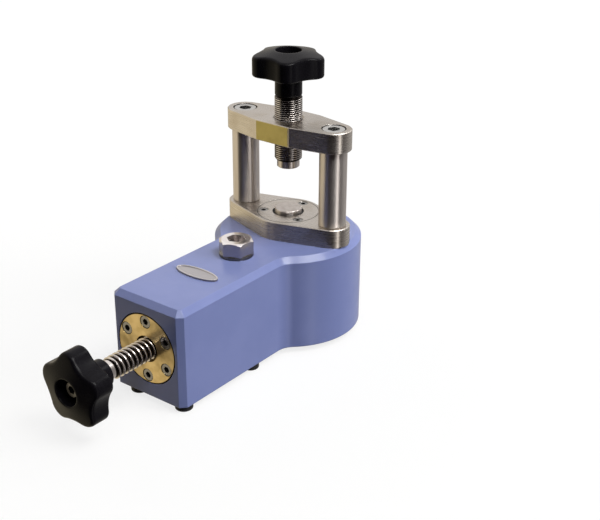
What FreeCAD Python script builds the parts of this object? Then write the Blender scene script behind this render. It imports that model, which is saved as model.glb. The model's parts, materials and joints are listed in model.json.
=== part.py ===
import FreeCAD, Part
import math
import os
import Sketcher

# Hand-screw hydraulic tablet press.
# Origin: the middle of the footprint, on the plane of the feet. +Z is up, the drive knob points
# to -Y, and the two pillars stand along X. All sizes are in millimetres, and all positions along Y
# are written from the ram's axis, which place() moves back by ram_axis_back.

SIZES = [
    ("ram_axis_back", 84.5),
    ("foot_height", 5.0), ("foot_radius", 6.2), ("foot_edge_radius", 1.0),
    ("foot_recess_radius", 4.0), ("foot_recess_depth", 2.6),
    ("block_width", 63.0), ("block_front", 152.5), ("block_height", 71.0), ("block_chamfer", 4.0),
    ("column_radius", 54.5), ("blend_radius", 15.0), ("foot_hole_depth", 9.0), ("foot_screw_length", 10.0),
    # hydraulic bores
    ("drive_height", 40.5), ("ram_bore_depth", 42.0), ("piston_radius", 20.0), ("piston_length", 16.0),
    ("piston_rest", 46.0), ("piston_stop_radius", 6.0), ("nose_radius", 10.0), ("nose_top", 93.0),
    ("piston_groove_radius", 17.5), ("piston_groove_width", 4.0), ("gallery_radius", 3.0),
    ("oil_chamber_radius", 7.0), ("oil_chamber_length", 37.0), ("running_gap", 0.05), ("end_gap", 0.1),
    # base plate and ram guide
    ("plate_spacing", 40.0), ("base_plate_radius", 25.2), ("plate_end_radius", 13.0),
    ("base_plate_thickness", 14.0), ("plate_edge_break", 0.5), ("guide_radius", 23.0),
    ("guide_thickness", 7.0), ("guide_screw_circle", 18.4), ("wiper_radius", 11.7), ("wiper_height", 2.6),
    ("wiper_seat_depth", 3.2), ("base_web_bore_radius", 10.6), ("ring_screw_web", 2.7),
    ("ring_screw_seat_radius", 3.7), ("ring_hole_start", 1.5), ("ring_screw_length", 8.0),
    # pillars and top plate
    ("pillar_radius", 10.0), ("pillar_length", 57.0), ("pillar_spigot_radius", 6.0),
    ("pillar_spigot_length", 34.0), ("top_plate_half_depth", 18.5),
    ("top_plate_flat", 29.0), ("top_plate_thickness", 15.0),
    ("cap_recess_radius", 8.9), ("cap_recess_depth", 10.4), ("cap_clearance_radius", 5.5),
    ("cap_screw_length", 25.0), ("cap_thread_depth", 22.0), ("screw_bore_relief", 1.2),
    ("screw_bore_relief_depth", 1.0), ("spigot_end_gap", 1.0),
    # lead screw, pad and knobs
    ("lead_screw_radius", 10.0), ("lead_screw_bottom", 131.0), ("lead_screw_length", 48.0),
    ("lead_in", 1.3), ("pad_radius", 8.2), ("pad_thickness", 5.5), ("pad_stem_radius", 4.0),
    ("pad_stem_length", 8.5), ("pad_groove_start", 3.0), ("pad_groove_width", 3.0),
    ("pad_groove_depth", 0.8), ("pad_socket_clearance", 0.5),
    ("grub_radius", 1.5), ("grub_length", 5.5), ("grub_height", 4.5), ("grub_inner", 3.5),
    ("grub_flats", 1.5),
    ("knob_spigot_radius", 5.0), ("knob_spigot_length", 18.0), ("knob_bush_radius", 7.4),
    ("knob_hub_radius", 9.8), ("knob_hub_length", 14.5),
    ("knob_radius", 26.2), ("knob_rim_height", 13.8), ("knob_length", 32.0), ("knob_crown_radius", 11.0),
    ("knob_recess_radius", 9.2), ("knob_recess_depth", 12.0), ("knob_lobe_count", 5),
    ("knob_tip_radius", 8.3), ("knob_valley_depth", 21.1), ("knob_rim_fillet", 1.8),
    ("knob_washer_radius", 7.0), ("knob_washer_thickness", 1.2), ("knob_washer_hole", 3.2),
    ("knob_screw_length", 14.0), ("knob_thread_depth", 15.0),
    # drive screw, nut and plunger
    ("flange_radius", 25.2), ("flange_thickness", 8.0), ("flange_seat_radius", 25.8),
    ("nut_boss_radius", 15.0), ("nut_length", 20.0), ("nut_mouth_radius", 9.5), ("nut_mouth_depth", 3.5),
    ("flange_screw_circle", 20.0), ("flange_screw_seat_radius", 4.65), ("flange_screw_seat_depth", 5.3),
    ("flange_screw_clearance", 2.75), ("flange_screw_length", 16.0), ("flange_thread_depth", 14.0),
    ("flange_edge_break", 0.4), ("drive_screw_radius", 8.0), ("drive_screw_exposed", 39.0),
    ("drive_screw_length", 57.0), ("drive_nose_radius", 6.0), ("drive_nose_length", 3.5),
    ("ball_radius", 4.0), ("ball_gap", 2.0), ("ball_clearance", 0.02), ("plunger_head_radius", 10.0),
    ("plunger_head_length", 8.0),
    ("plunger_radius", 6.0), ("plunger_length", 50.0), ("head_chamber_radius", 13.0),
    ("head_chamber_length", 46.0), ("gland_radius", 9.0), ("gland_length", 14.0),
    ("gland_seal_radius", 8.2), ("gland_seal_length", 4.0), ("gland_lip", 3.0),
    # plug, badge, label
    ("plug_forward", 59.5), ("plug_flats", 22.0), ("plug_head_height", 10.3), ("plug_shank_radius", 8.33),
    ("plug_shank_length", 12.0), ("plug_socket_flats", 12.0), ("plug_socket_depth", 7.0),
    ("plug_bevel_inset", 0.6), ("plug_hole_extra", 2.0), ("plug_washer_radius", 12.2),
    ("plug_washer_thickness", 2.0), ("badge_forward", 101.0), ("badge_half_length", 18.0),
    ("badge_half_width", 6.5), ("badge_thickness", 1.3), ("badge_border", 1.2), ("badge_field_depth", 0.4),
    ("label_width", 28.0), ("label_thickness", 0.3), ("label_margin", 0.6), ("label_offset", 0.5),
    # return spring
    ("spring_wire_radius", 1.1), ("spring_mean_radius", 14.0), ("spring_turns", 3.0),
]

FRONT_DIRECTION = FreeCAD.Rotation(FreeCAD.Vector(1, 0, 0), 90)     # local Z points to -Y
INWARD_DIRECTION = FreeCAD.Rotation(FreeCAD.Vector(1, 0, 0), -90)   # local Z points to +Y
UPWARD = FreeCAD.Rotation()
DOWNWARD = FreeCAD.Rotation(FreeCAD.Vector(1, 0, 0), 180)

# Socket screws by thread: head radius, head height, thread radius and the socket's width across flats.
SOCKET_SCREWS = {
    "M4": (3.5, 4.0, 2.0, 3.0),
    "M4 low head": (3.5, 2.0, 2.0, 2.5),
    "M5": (4.25, 5.0, 2.5, 4.0),
    "M6": (5.0, 6.0, 3.0, 5.0),
    "M10": (8.0, 10.0, 5.0, 8.0),
}

BODY_TOP = "(dims.foot_height + dims.block_height)"
PLATE_TOP = "(dims.foot_height + dims.block_height + dims.base_plate_thickness)"
TOP_PLATE_BOTTOM = "(dims.foot_height + dims.block_height + dims.base_plate_thickness + dims.pillar_length)"
TOP_PLATE_TOP = "(" + TOP_PLATE_BOTTOM + " + dims.top_plate_thickness)"
LEAD_TOP = "(dims.lead_screw_bottom + dims.lead_screw_length)"
DRIVE_TIP = "(-dims.block_front - dims.drive_screw_exposed)"
DRIVE_END = "(" + DRIVE_TIP + " + dims.drive_screw_length + dims.drive_nose_length)"
HEAD_START = "(" + DRIVE_END + " + dims.ball_gap)"
GLAND_START = "(-dims.block_front + dims.nut_length + dims.end_gap + dims.head_chamber_length)"
RAM_BORE_FLOOR = "(" + BODY_TOP + " - dims.ram_bore_depth)"
BALL_SEAT_DEPTH = "(dims.ball_radius - dims.ball_gap / 2 + dims.ball_clearance)"
KNOB_BUSH_LENGTH = "(dims.knob_length - dims.knob_recess_depth)"

# Feet under the front block and the column: (x, y) of each centre.
FOOT_PLACES = [(24.0, -144.0), (-16.0, -145.0), (24.5, -75.0), (-24.5, -75.0), (32.0, 30.0), (-32.0, 30.0)]
SIDES = [("left", "-"), ("right", "")]
RING_SCREW_ANGLES = [90, 210, 330]
FLANGE_SCREW_ANGLES = [30 + 60 * number for number in range(6)]
TOP_LOBE_ANGLE = 16.5
FRONT_LOBE_ANGLE = 21.0
PLUG_TURN = 23.0
PLUG_BEVEL_SLOPE = math.tan(math.radians(30))

doc = FreeCAD.newDocument("tablet_press")
sheet = doc.addObject("Spreadsheet::Sheet", "dims")
for row, (alias, number) in enumerate(SIZES, start=1):
    sheet.set("A%d" % row, alias)
    sheet.set("B%d" % row, str(number))
    sheet.setAlias("B%d" % row, alias)
doc.recompute()

sub_parts = []


def value(text):
    """The number that an expression gives, for the first guess of a sketch's geometry."""
    result = sheet.evalExpression(text.replace("dims.", ""))
    return float(getattr(result, "Value", result))


# ---- PartDesign helpers -------------------------------------------------------------------------

def place(thing, x="0", y="0", z="0", direction=UPWARD):
    thing.Placement = FreeCAD.Placement(FreeCAD.Vector(), direction)
    for axis, text in (("x", x), ("y", y + " + dims.ram_axis_back"), ("z", z)):
        thing.setExpression("Placement.Base." + axis, text)


def new_body(label, x="0", y="0", z="0", direction=UPWARD):
    body = doc.addObject("PartDesign::Body", label)
    body.Label = label
    place(body, x, y, z, direction)
    sub_parts.append(body)
    return body


def origin_feature(body, role):
    return [part for part in body.Origin.OriginFeatures if part.Role == role][0]


def new_sketch(body, name, role="XY_Plane", x="0", y="0", z="0"):
    """A sketch on one of the body's own planes, its origin moved by x, y and z in the plane's frame."""
    sketch = body.newObject("Sketcher::SketchObject", name)
    sketch.AttachmentSupport = (origin_feature(body, role), [""])
    sketch.MapMode = "FlatFace"
    for axis, text in (("x", x), ("y", y), ("z", z)):
        sketch.setExpression("AttachmentOffset.Base." + axis, text)
    return sketch


def bind(sketch, constraint, text):
    index = sketch.addConstraint(constraint)
    sketch.setExpression("Constraints[%d]" % index, text)


def draw_circle(sketch, radius):
    size = value(radius)
    index = sketch.addGeometry(Part.Circle(FreeCAD.Vector(), FreeCAD.Vector(0, 0, 1), size))
    sketch.addConstraint(Sketcher.Constraint("Coincident", index, 3, -1, 1))
    bind(sketch, Sketcher.Constraint("Radius", index, size), radius)


def draw_rectangle(sketch, width, height):
    """A rectangle centred across the sketch's vertical axis and standing on its horizontal axis."""
    half, tall = value(width) / 2, value(height)
    corners = [(-half, 0), (half, 0), (half, tall), (-half, tall)]
    points = [FreeCAD.Vector(x, y, 0) for x, y in corners]
    for start, end in zip(points, points[1:] + points[:1]):
        sketch.addGeometry(Part.LineSegment(start, end))
    for side in range(4):
        sketch.addConstraint(Sketcher.Constraint("Coincident", side, 2, (side + 1) % 4, 1))
        sketch.addConstraint(Sketcher.Constraint("Horizontal" if side % 2 == 0 else "Vertical", side))
    sketch.addConstraint(Sketcher.Constraint("Symmetric", 0, 1, 0, 2, -1, 1))
    bind(sketch, Sketcher.Constraint("DistanceX", 0, 1, 0, 2, 2 * half), width)
    bind(sketch, Sketcher.Constraint("DistanceY", 1, 1, 1, 2, tall), height)


def draw_polygon(sketch, corners):
    """Straight sides through corners given as pairs of expressions from the sketch's origin."""
    points = [FreeCAD.Vector(value(x), value(y), 0) for x, y in corners]
    count = len(points)
    for number in range(count):
        sketch.addGeometry(Part.LineSegment(points[number], points[(number + 1) % count]))
    for number, (x, y) in enumerate(corners):
        sketch.addConstraint(Sketcher.Constraint("Coincident", number, 2, (number + 1) % count, 1))
        bind(sketch, Sketcher.Constraint("DistanceX", -1, 1, number, 1, points[number].x), x)
        bind(sketch, Sketcher.Constraint("DistanceY", -1, 1, number, 1, points[number].y), y)


def draw_profile(sketch, steps):
    """A stepped half profile standing on the origin, its axis along the sketch's vertical axis."""
    radii = [value(radius) for radius, _ in steps]
    lengths = [value(length) for _, length in steps]
    points = [(0.0, 0.0)]
    level = 0.0
    for radius, length in zip(radii, lengths):
        points.append((radius, level))
        level += length
        points.append((radius, level))
    points.append((0.0, level))
    vectors = [FreeCAD.Vector(x, y, 0) for x, y in points]
    count = len(vectors)
    for number in range(count):
        sketch.addGeometry(Part.LineSegment(vectors[number], vectors[(number + 1) % count]))
    for number in range(count):
        sketch.addConstraint(Sketcher.Constraint("Coincident", number, 2, (number + 1) % count, 1))
        sketch.addConstraint(Sketcher.Constraint("Horizontal" if number % 2 == 0 else "Vertical", number))
    sketch.addConstraint(Sketcher.Constraint("Coincident", 0, 1, -1, 1))
    for number, (radius, length) in enumerate(steps):
        wall = 2 * number + 1
        bind(sketch, Sketcher.Constraint("DistanceX", -1, 1, wall, 1, radii[number]), radius)
        bind(sketch, Sketcher.Constraint("DistanceY", wall, 1, wall, 2, lengths[number]), length)


def draw_hull(sketch, centre_radius, end_radius, spacing):
    """The outline that wraps a middle circle and an equal circle at each end, joined by tangents."""
    middle, end, reach = value(centre_radius), value(end_radius), value(spacing)
    lean = math.acos((middle - end) / reach)
    arcs = [
        (reach, end, -lean, lean),
        (0.0, middle, lean, math.pi - lean),
        (-reach, end, math.pi - lean, math.pi + lean),
        (0.0, middle, math.pi + lean, 2 * math.pi - lean),
    ]
    tips = []
    for centre, radius, start, stop in arcs:
        tips.append([FreeCAD.Vector(centre + radius * math.cos(turn), radius * math.sin(turn), 0)
                     for turn in (start, stop)])
    for number, (centre, radius, start, stop) in enumerate(arcs):
        circle = Part.Circle(FreeCAD.Vector(centre, 0, 0), FreeCAD.Vector(0, 0, 1), radius)
        sketch.addGeometry(Part.ArcOfCircle(circle, start, stop))
        sketch.addGeometry(Part.LineSegment(tips[number][1], tips[(number + 1) % 4][0]))
    for number in range(8):
        sketch.addConstraint(Sketcher.Constraint("Tangent", number, 2, (number + 1) % 8, 1))
    sketch.addConstraint(Sketcher.Constraint("Coincident", 2, 3, -1, 1))
    sketch.addConstraint(Sketcher.Constraint("Coincident", 6, 3, -1, 1))
    sketch.addConstraint(Sketcher.Constraint("PointOnObject", 0, 3, -1))
    sketch.addConstraint(Sketcher.Constraint("Symmetric", 0, 3, 4, 3, -1, 1))
    sketch.addConstraint(Sketcher.Constraint("Equal", 0, 4))
    sketch.addConstraint(Sketcher.Constraint("Equal", 2, 6))
    bind(sketch, Sketcher.Constraint("DistanceX", -1, 1, 0, 3, reach), spacing)
    bind(sketch, Sketcher.Constraint("Radius", 0, end), end_radius)
    bind(sketch, Sketcher.Constraint("Radius", 2, middle), centre_radius)


def draw_faceted_outline(sketch, half_depth, flat, end_radius, spacing):
    """A plate outline with a flat in front and behind, and slanting sides round to an arc at each end."""
    depth, half, end, reach = value(half_depth), value(flat) / 2, value(end_radius), value(spacing)
    away = math.hypot(reach - half, depth)
    lean = math.atan2(depth, half - reach) - math.acos(end / away)
    places = ((half, depth), (-half, depth), (-half, -depth), (half, -depth))
    corners = [FreeCAD.Vector(x, y, 0) for x, y in places]
    for side, first, second in ((1, corners[0], corners[1]), (-1, corners[2], corners[3])):
        middle = 0.0 if side == 1 else math.pi
        centre = FreeCAD.Vector(side * reach, 0, 0)
        circle = Part.Circle(centre, FreeCAD.Vector(0, 0, 1), end)
        start, stop = middle - lean, middle + lean
        opposite = FreeCAD.Vector(-side * reach, 0, 0)
        arc_end = centre + FreeCAD.Vector(end * math.cos(stop), end * math.sin(stop), 0)
        next_turn = middle + math.pi - lean
        next_start = opposite + FreeCAD.Vector(end * math.cos(next_turn), end * math.sin(next_turn), 0)
        sketch.addGeometry(Part.ArcOfCircle(circle, start, stop))
        sketch.addGeometry(Part.LineSegment(arc_end, first))
        sketch.addGeometry(Part.LineSegment(first, second))
        sketch.addGeometry(Part.LineSegment(second, next_start))
    for number in range(8):
        touches_arc = number % 4 in (0, 3)
        kind = "Tangent" if touches_arc else "Coincident"
        sketch.addConstraint(Sketcher.Constraint(kind, number, 2, (number + 1) % 8, 1))
    sketch.addConstraint(Sketcher.Constraint("PointOnObject", 0, 3, -1))
    sketch.addConstraint(Sketcher.Constraint("Symmetric", 0, 3, 4, 3, -1, 1))
    sketch.addConstraint(Sketcher.Constraint("Equal", 0, 4))
    sketch.addConstraint(Sketcher.Constraint("Symmetric", 2, 1, 2, 2, -2))
    sketch.addConstraint(Sketcher.Constraint("Symmetric", 2, 2, 6, 1, -1))
    sketch.addConstraint(Sketcher.Constraint("Symmetric", 2, 1, 6, 2, -1))
    bind(sketch, Sketcher.Constraint("DistanceX", -1, 1, 0, 3, reach), spacing)
    bind(sketch, Sketcher.Constraint("Radius", 0, end), end_radius)
    bind(sketch, Sketcher.Constraint("DistanceX", 2, 2, 2, 1, 2 * half), flat)
    bind(sketch, Sketcher.Constraint("DistanceY", -1, 1, 2, 1, depth), half_depth)


def pad(body, sketch, name, length):
    feature = body.newObject("PartDesign::Pad", name)
    feature.Profile = sketch
    feature.setExpression("Length", length)
    return feature


def pocket(body, sketch, name, depth):
    """Cuts downwards, against the sketch's normal."""
    feature = body.newObject("PartDesign::Pocket", name)
    feature.Profile = sketch
    feature.setExpression("Length", depth)
    return feature


def turn(body, name, steps, x="0", y="0", z="0", cut=False, role="XZ_Plane"):
    """Turns a stepped profile about the sketch's vertical axis, adding to the body or boring it."""
    sketch = new_sketch(body, name + "_profile", role, x, y, z)
    draw_profile(sketch, steps)
    return spin(body, name, sketch, cut)


def spin(body, name, sketch, cut):
    """A full turn of a sketch about its own vertical axis."""
    feature = body.newObject("PartDesign::Groove" if cut else "PartDesign::Revolution", name)
    feature.Profile = sketch
    feature.ReferenceAxis = (sketch, ["V_Axis"])
    feature.Angle = 360
    return feature


def hexagon_socket(body, name, flats, depth, z):
    """A hexagonal recess that is open at local height z and goes down by depth."""
    prism = body.newObject("PartDesign::SubtractivePrism", name)
    prism.Polygon = 6
    prism.setExpression("Circumradius", flats + " / sqrt(3)")
    prism.setExpression("Height", depth)
    prism.AttachmentSupport = (origin_feature(body, "XY_Plane"), [""])
    prism.MapMode = "FlatFace"
    prism.setExpression("AttachmentOffset.Base.z", z + " - " + depth)
    return prism


def edges_where(shape, test):
    """The names of the edges whose ends and middle all pass the test."""
    names = []
    for number, edge in enumerate(shape.Edges, start=1):
        middle = edge.valueAt((edge.FirstParameter + edge.LastParameter) / 2)
        points = [vertex.Point for vertex in edge.Vertexes] + [middle]
        if all(test(point) for point in points):
            names.append("Edge%d" % number)
    return names


def dress(body, kind, name, base, names, size):
    """A fillet or a chamfer on the named edges of the base feature."""
    feature = body.newObject("PartDesign::" + kind, name)
    feature.Base = (base, names)
    feature.setExpression("Radius" if kind == "Fillet" else "Size", size)
    doc.recompute()
    return feature


def group(label, pieces):
    """One node that holds several equal, separate solids."""
    compound = doc.addObject("Part::Compound", label)
    compound.Label = label
    compound.Links = pieces
    for piece in pieces:
        sub_parts.remove(piece)
    sub_parts.append(compound)


def thread_radius(thread):
    return str(SOCKET_SCREWS[thread][2])


def on_circle(radius, angle):
    """The two expressions for a point at an angle on a circle about the axis."""
    return "%s * cos(%d)" % (radius, angle), "%s * sin(%d)" % (radius, angle)


def cap_screw(label, thread, length, x="0", y="0", z="0", direction=UPWARD):
    """A socket cap screw. Its local origin is under the head, with the head towards local +Z."""
    head_radius, head_height, shank_radius, socket_flats = SOCKET_SCREWS[thread]
    body = new_body(label, x, y, z, direction)
    turn(body, label + "_turned", [(str(shank_radius), length), (str(head_radius), str(head_height))],
         y="-" + length)
    doc.recompute()
    hexagon_socket(body, label + "_socket", str(socket_flats), str(head_height / 2), str(head_height))
    return body


# ---- painted block ------------------------------------------------------------------------------

def build_block():
    body = new_body("body_block", z="dims.foot_height")
    outline = new_sketch(body, "front_outline", y="-dims.block_front")
    draw_rectangle(outline, "dims.block_width", "dims.block_front")
    pad(body, outline, "front_block", "dims.block_height")
    round_outline = new_sketch(body, "column_outline")
    draw_circle(round_outline, "dims.column_radius")
    base = pad(body, round_outline, "column", "dims.block_height")
    doc.recompute()
    half = value("dims.block_width") / 2
    front = value("dims.block_front")
    tall = value("dims.block_height")
    column = value("dims.column_radius")

    def upright(name):
        return abs(base.Shape.getElement(name).Length - tall) < 0.1

    corners = edges_where(base.Shape, lambda p: p.y < 1 - front and abs(abs(p.x) - half) < 0.1)
    corners = list(filter(upright, corners))
    base = dress(body, "Chamfer", "front_corners", base, corners, "dims.block_chamfer")
    inner = edges_where(base.Shape, lambda p: -column < p.y < -1 and abs(abs(p.x) - half) < 0.1)
    inner = list(filter(upright, inner))
    base = dress(body, "Fillet", "side_blends", base, inner, "dims.blend_radius")
    rim = edges_where(base.Shape, lambda p: p.z > tall - 0.01)
    dress(body, "Chamfer", "top_edge", base, rim, "dims.block_chamfer")
    # ram bore, open at the top
    turn(body, "ram_bore", [("dims.piston_radius + dims.running_gap", "dims.ram_bore_depth")],
         y="dims.block_height - dims.ram_bore_depth", cut=True)
    # the drive's stepped bore, from the front face inwards
    turn(body, "drive_bore", [
        ("dims.flange_seat_radius", "dims.flange_thickness"),
        ("dims.nut_boss_radius + dims.end_gap", "dims.nut_length - dims.flange_thickness + dims.end_gap"),
        ("dims.head_chamber_radius", "dims.head_chamber_length"),
        ("dims.gland_radius", "dims.gland_length"),
        ("dims.oil_chamber_radius", "dims.oil_chamber_length"),
        ("dims.gallery_radius", "dims.piston_radius"),
    ], y="-dims.block_front", z="dims.drive_height - dims.foot_height", cut=True, role="XY_Plane")
    # gauge port, from the top face down into the oil chamber
    turn(body, "gauge_port", [
        ("dims.gallery_radius", "dims.foot_height + dims.block_height - dims.drive_height"
                                " - dims.plug_shank_length - dims.plug_hole_extra"),
        ("dims.plug_shank_radius", "dims.plug_shank_length + dims.plug_hole_extra"),
    ], y="dims.drive_height - dims.foot_height", z="dims.plug_forward", cut=True)
    spigot_hole = "(dims.pillar_spigot_length - dims.base_plate_thickness + dims.spigot_end_gap)"
    for side, sign in SIDES:
        turn(body, "pillar_hole_" + side, [("dims.pillar_spigot_radius", spigot_hole)],
             x=sign + "dims.plate_spacing", y="dims.block_height - " + spigot_hole, cut=True)
    for number, angle in enumerate(FLANGE_SCREW_ANGLES):
        across, up = on_circle("dims.flange_screw_circle", angle)
        turn(body, "flange_hole_%d" % number,
             [(thread_radius("M5"), "dims.flange_thickness + dims.flange_thread_depth")],
             x=across, y="-dims.block_front", z="dims.drive_height - dims.foot_height + " + up,
             cut=True, role="XY_Plane")
    for number, (x, y) in enumerate(FOOT_PLACES):
        turn(body, "foot_hole_%d" % number, [(thread_radius("M4"), "dims.foot_hole_depth")],
             x=str(x), z=str(-y), cut=True)


# ---- base plate, guide ring, pillars and top plate -----------------------------------------------

def build_base_plate():
    body = new_body("base_plate", z=BODY_TOP)
    outline = new_sketch(body, "plate_outline")
    draw_hull(outline, "dims.base_plate_radius", "dims.plate_end_radius", "dims.plate_spacing")
    base = pad(body, outline, "plate", "dims.base_plate_thickness")
    doc.recompute()
    top = value("dims.base_plate_thickness")
    rim = edges_where(base.Shape, lambda p: p.z > top - 0.01)
    dress(body, "Chamfer", "edge_break", base, rim, "dims.plate_edge_break")
    turn(body, "guide_seat", [
        ("dims.base_web_bore_radius", "dims.base_plate_thickness - dims.guide_thickness"),
        ("dims.guide_radius", "dims.guide_thickness"),
    ], cut=True)
    for side, sign in SIDES:
        turn(body, "pillar_hole_" + side, [("dims.pillar_spigot_radius", "dims.base_plate_thickness")],
             x=sign + "dims.plate_spacing", cut=True)
    for number, angle in enumerate(RING_SCREW_ANGLES):
        across, back = on_circle("dims.guide_screw_circle", angle)
        turn(body, "ring_screw_hole_%d" % number,
             [(thread_radius("M4"), "dims.base_plate_thickness - dims.ring_hole_start")],
             x=across, y="dims.ring_hole_start", z="-" + back, cut=True)


def build_guide_ring():
    body = new_body("ram_guide_ring", z=PLATE_TOP + " - dims.guide_thickness")
    turn(body, "ring", [("dims.guide_radius", "dims.guide_thickness")])
    turn(body, "ram_hole", [
        ("dims.nose_radius + dims.running_gap", "dims.guide_thickness - dims.wiper_seat_depth"),
        ("dims.wiper_radius", "dims.wiper_seat_depth"),
    ], cut=True)
    screws = []
    for number, angle in enumerate(RING_SCREW_ANGLES):
        across, back = on_circle("dims.guide_screw_circle", angle)
        turn(body, "screw_seat_%d" % number,
             [(thread_radius("M4"), "dims.ring_screw_web"),
              ("dims.ring_screw_seat_radius", "dims.guide_thickness - dims.ring_screw_web")],
             x=across, z="-" + back, cut=True)
        screws.append(cap_screw("ring_screw_%d" % number, "M4", "dims.ring_screw_length", across, back,
                                PLATE_TOP + " - dims.guide_thickness + dims.ring_screw_web"))
    group("guide_ring_screws", screws)
    wiper = new_body("ram_wiper", z=PLATE_TOP + " - dims.wiper_seat_depth")
    turn(wiper, "ring", [("dims.wiper_radius", "dims.wiper_height")])
    turn(wiper, "hole", [("dims.nose_radius + dims.running_gap", "dims.wiper_height")], cut=True)


def build_pillar(label, sign):
    body = new_body(label, x=sign + "dims.plate_spacing", z=PLATE_TOP + " - dims.pillar_spigot_length")
    base = turn(body, "pillar", [("dims.pillar_spigot_radius", "dims.pillar_spigot_length"),
                                 ("dims.pillar_radius", "dims.pillar_length")])
    doc.recompute()
    low = value("dims.pillar_spigot_length")
    wide = value("dims.pillar_radius")
    ends = edges_where(base.Shape, lambda p: p.z > low - 0.01 and math.hypot(p.x, p.y) > wide - 0.1)
    ends = [name for name in ends if base.Shape.getElement(name).Closed]
    dress(body, "Chamfer", "end_chamfers", base, ends, "dims.plate_edge_break")
    turn(body, "cap_screw_hole", [(thread_radius("M10"), "dims.cap_thread_depth")],
         y="dims.pillar_spigot_length + dims.pillar_length - dims.cap_thread_depth", cut=True)


def build_top_plate():
    body = new_body("top_plate", z=TOP_PLATE_BOTTOM)
    outline = new_sketch(body, "plate_outline")
    draw_faceted_outline(outline, "dims.top_plate_half_depth", "dims.top_plate_flat", "dims.plate_end_radius",
                         "dims.plate_spacing")
    base = pad(body, outline, "plate", "dims.top_plate_thickness")
    doc.recompute()
    rim = edges_where(base.Shape, lambda p: p.z < 0.01)
    top = value("dims.top_plate_thickness")
    rim += edges_where(base.Shape, lambda p: p.z > top - 0.01)
    dress(body, "Chamfer", "edge_break", base, rim, "dims.plate_edge_break")
    turn(body, "screw_bore", [
        ("dims.lead_screw_radius + dims.running_gap",
         "dims.top_plate_thickness - dims.screw_bore_relief_depth"),
        ("dims.lead_screw_radius + dims.screw_bore_relief", "dims.screw_bore_relief_depth"),
    ], cut=True)
    screws = []
    for side, sign in SIDES:
        across = sign + "dims.plate_spacing"
        turn(body, "cap_hole_" + side,
             [("dims.cap_clearance_radius", "dims.top_plate_thickness - dims.cap_recess_depth"),
              ("dims.cap_recess_radius", "dims.cap_recess_depth")], x=across, cut=True)
        screws.append(cap_screw("cap_screw_" + side, "M10", "dims.cap_screw_length", x=across,
                                z=TOP_PLATE_TOP + " - dims.cap_recess_depth"))
    group("pillar_cap_screws", screws)


def build_label():
    """A thin sticker on the flat front of the top plate."""
    body = new_body("load_label", "-dims.label_offset", "-dims.top_plate_half_depth",
                    TOP_PLATE_BOTTOM + " + dims.label_margin", FRONT_DIRECTION)
    outline = new_sketch(body, "label_outline")
    draw_rectangle(outline, "dims.label_width", "dims.top_plate_thickness - 2 * dims.label_margin")
    pad(body, outline, "label_film", "dims.label_thickness")


# ---- ram and its return spring -------------------------------------------------------------------

def build_ram():
    body = new_body("ram", z=RAM_BORE_FLOOR)
    groove_start = "(dims.piston_length - dims.piston_groove_width) / 2"
    base = turn(body, "ram", [
        ("dims.piston_stop_radius", "dims.piston_rest - " + RAM_BORE_FLOOR),
        ("dims.piston_radius", groove_start),
        ("dims.piston_groove_radius", "dims.piston_groove_width"),
        ("dims.piston_radius", "dims.piston_length - dims.piston_groove_width - " + groove_start),
        ("dims.nose_radius", "dims.nose_top - dims.piston_rest - dims.piston_length"),
    ])
    doc.recompute()
    top = value("dims.nose_top - " + RAM_BORE_FLOOR)
    edge = edges_where(base.Shape, lambda p: p.z > top - 0.01)
    dress(body, "Chamfer", "nose_chamfer", base, edge, "dims.plate_edge_break")
    seal = new_body("ram_seal", z="dims.piston_rest + " + groove_start + " + dims.end_gap")
    turn(seal, "ring", [("dims.piston_radius", "dims.piston_groove_width - 2 * dims.end_gap")])
    turn(seal, "hole", [("dims.piston_groove_radius", "dims.piston_groove_width - 2 * dims.end_gap")],
         cut=True)


def build_spring():
    """The coil that pushes the ram back down, between the piston's shoulder and the base plate."""
    body = new_body("ram_return_spring", z="dims.piston_rest + dims.piston_length")
    section = new_sketch(body, "wire_section", "XZ_Plane")
    low = "(dims.spring_wire_radius + dims.running_gap)"
    room = "(" + BODY_TOP + " - dims.piston_rest - dims.piston_length)"
    size = value("dims.spring_wire_radius")
    centre = FreeCAD.Vector(value("dims.spring_mean_radius"), value(low), 0)
    section.addGeometry(Part.Circle(centre, FreeCAD.Vector(0, 0, 1), size))
    bind(section, Sketcher.Constraint("Radius", 0, size), "dims.spring_wire_radius")
    bind(section, Sketcher.Constraint("DistanceX", -1, 1, 0, 3, centre.x), "dims.spring_mean_radius")
    bind(section, Sketcher.Constraint("DistanceY", -1, 1, 0, 3, centre.y), low)
    coil = body.newObject("PartDesign::AdditiveHelix", "coil")
    coil.Profile = section
    coil.ReferenceAxis = (section, ["V_Axis"])
    coil.Mode = "height-turns-angle"
    coil.setExpression("Height", room + " - 2 * " + low)
    coil.setExpression("Turns", "dims.spring_turns")


# ---- knobs --------------------------------------------------------------------------------------

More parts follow.
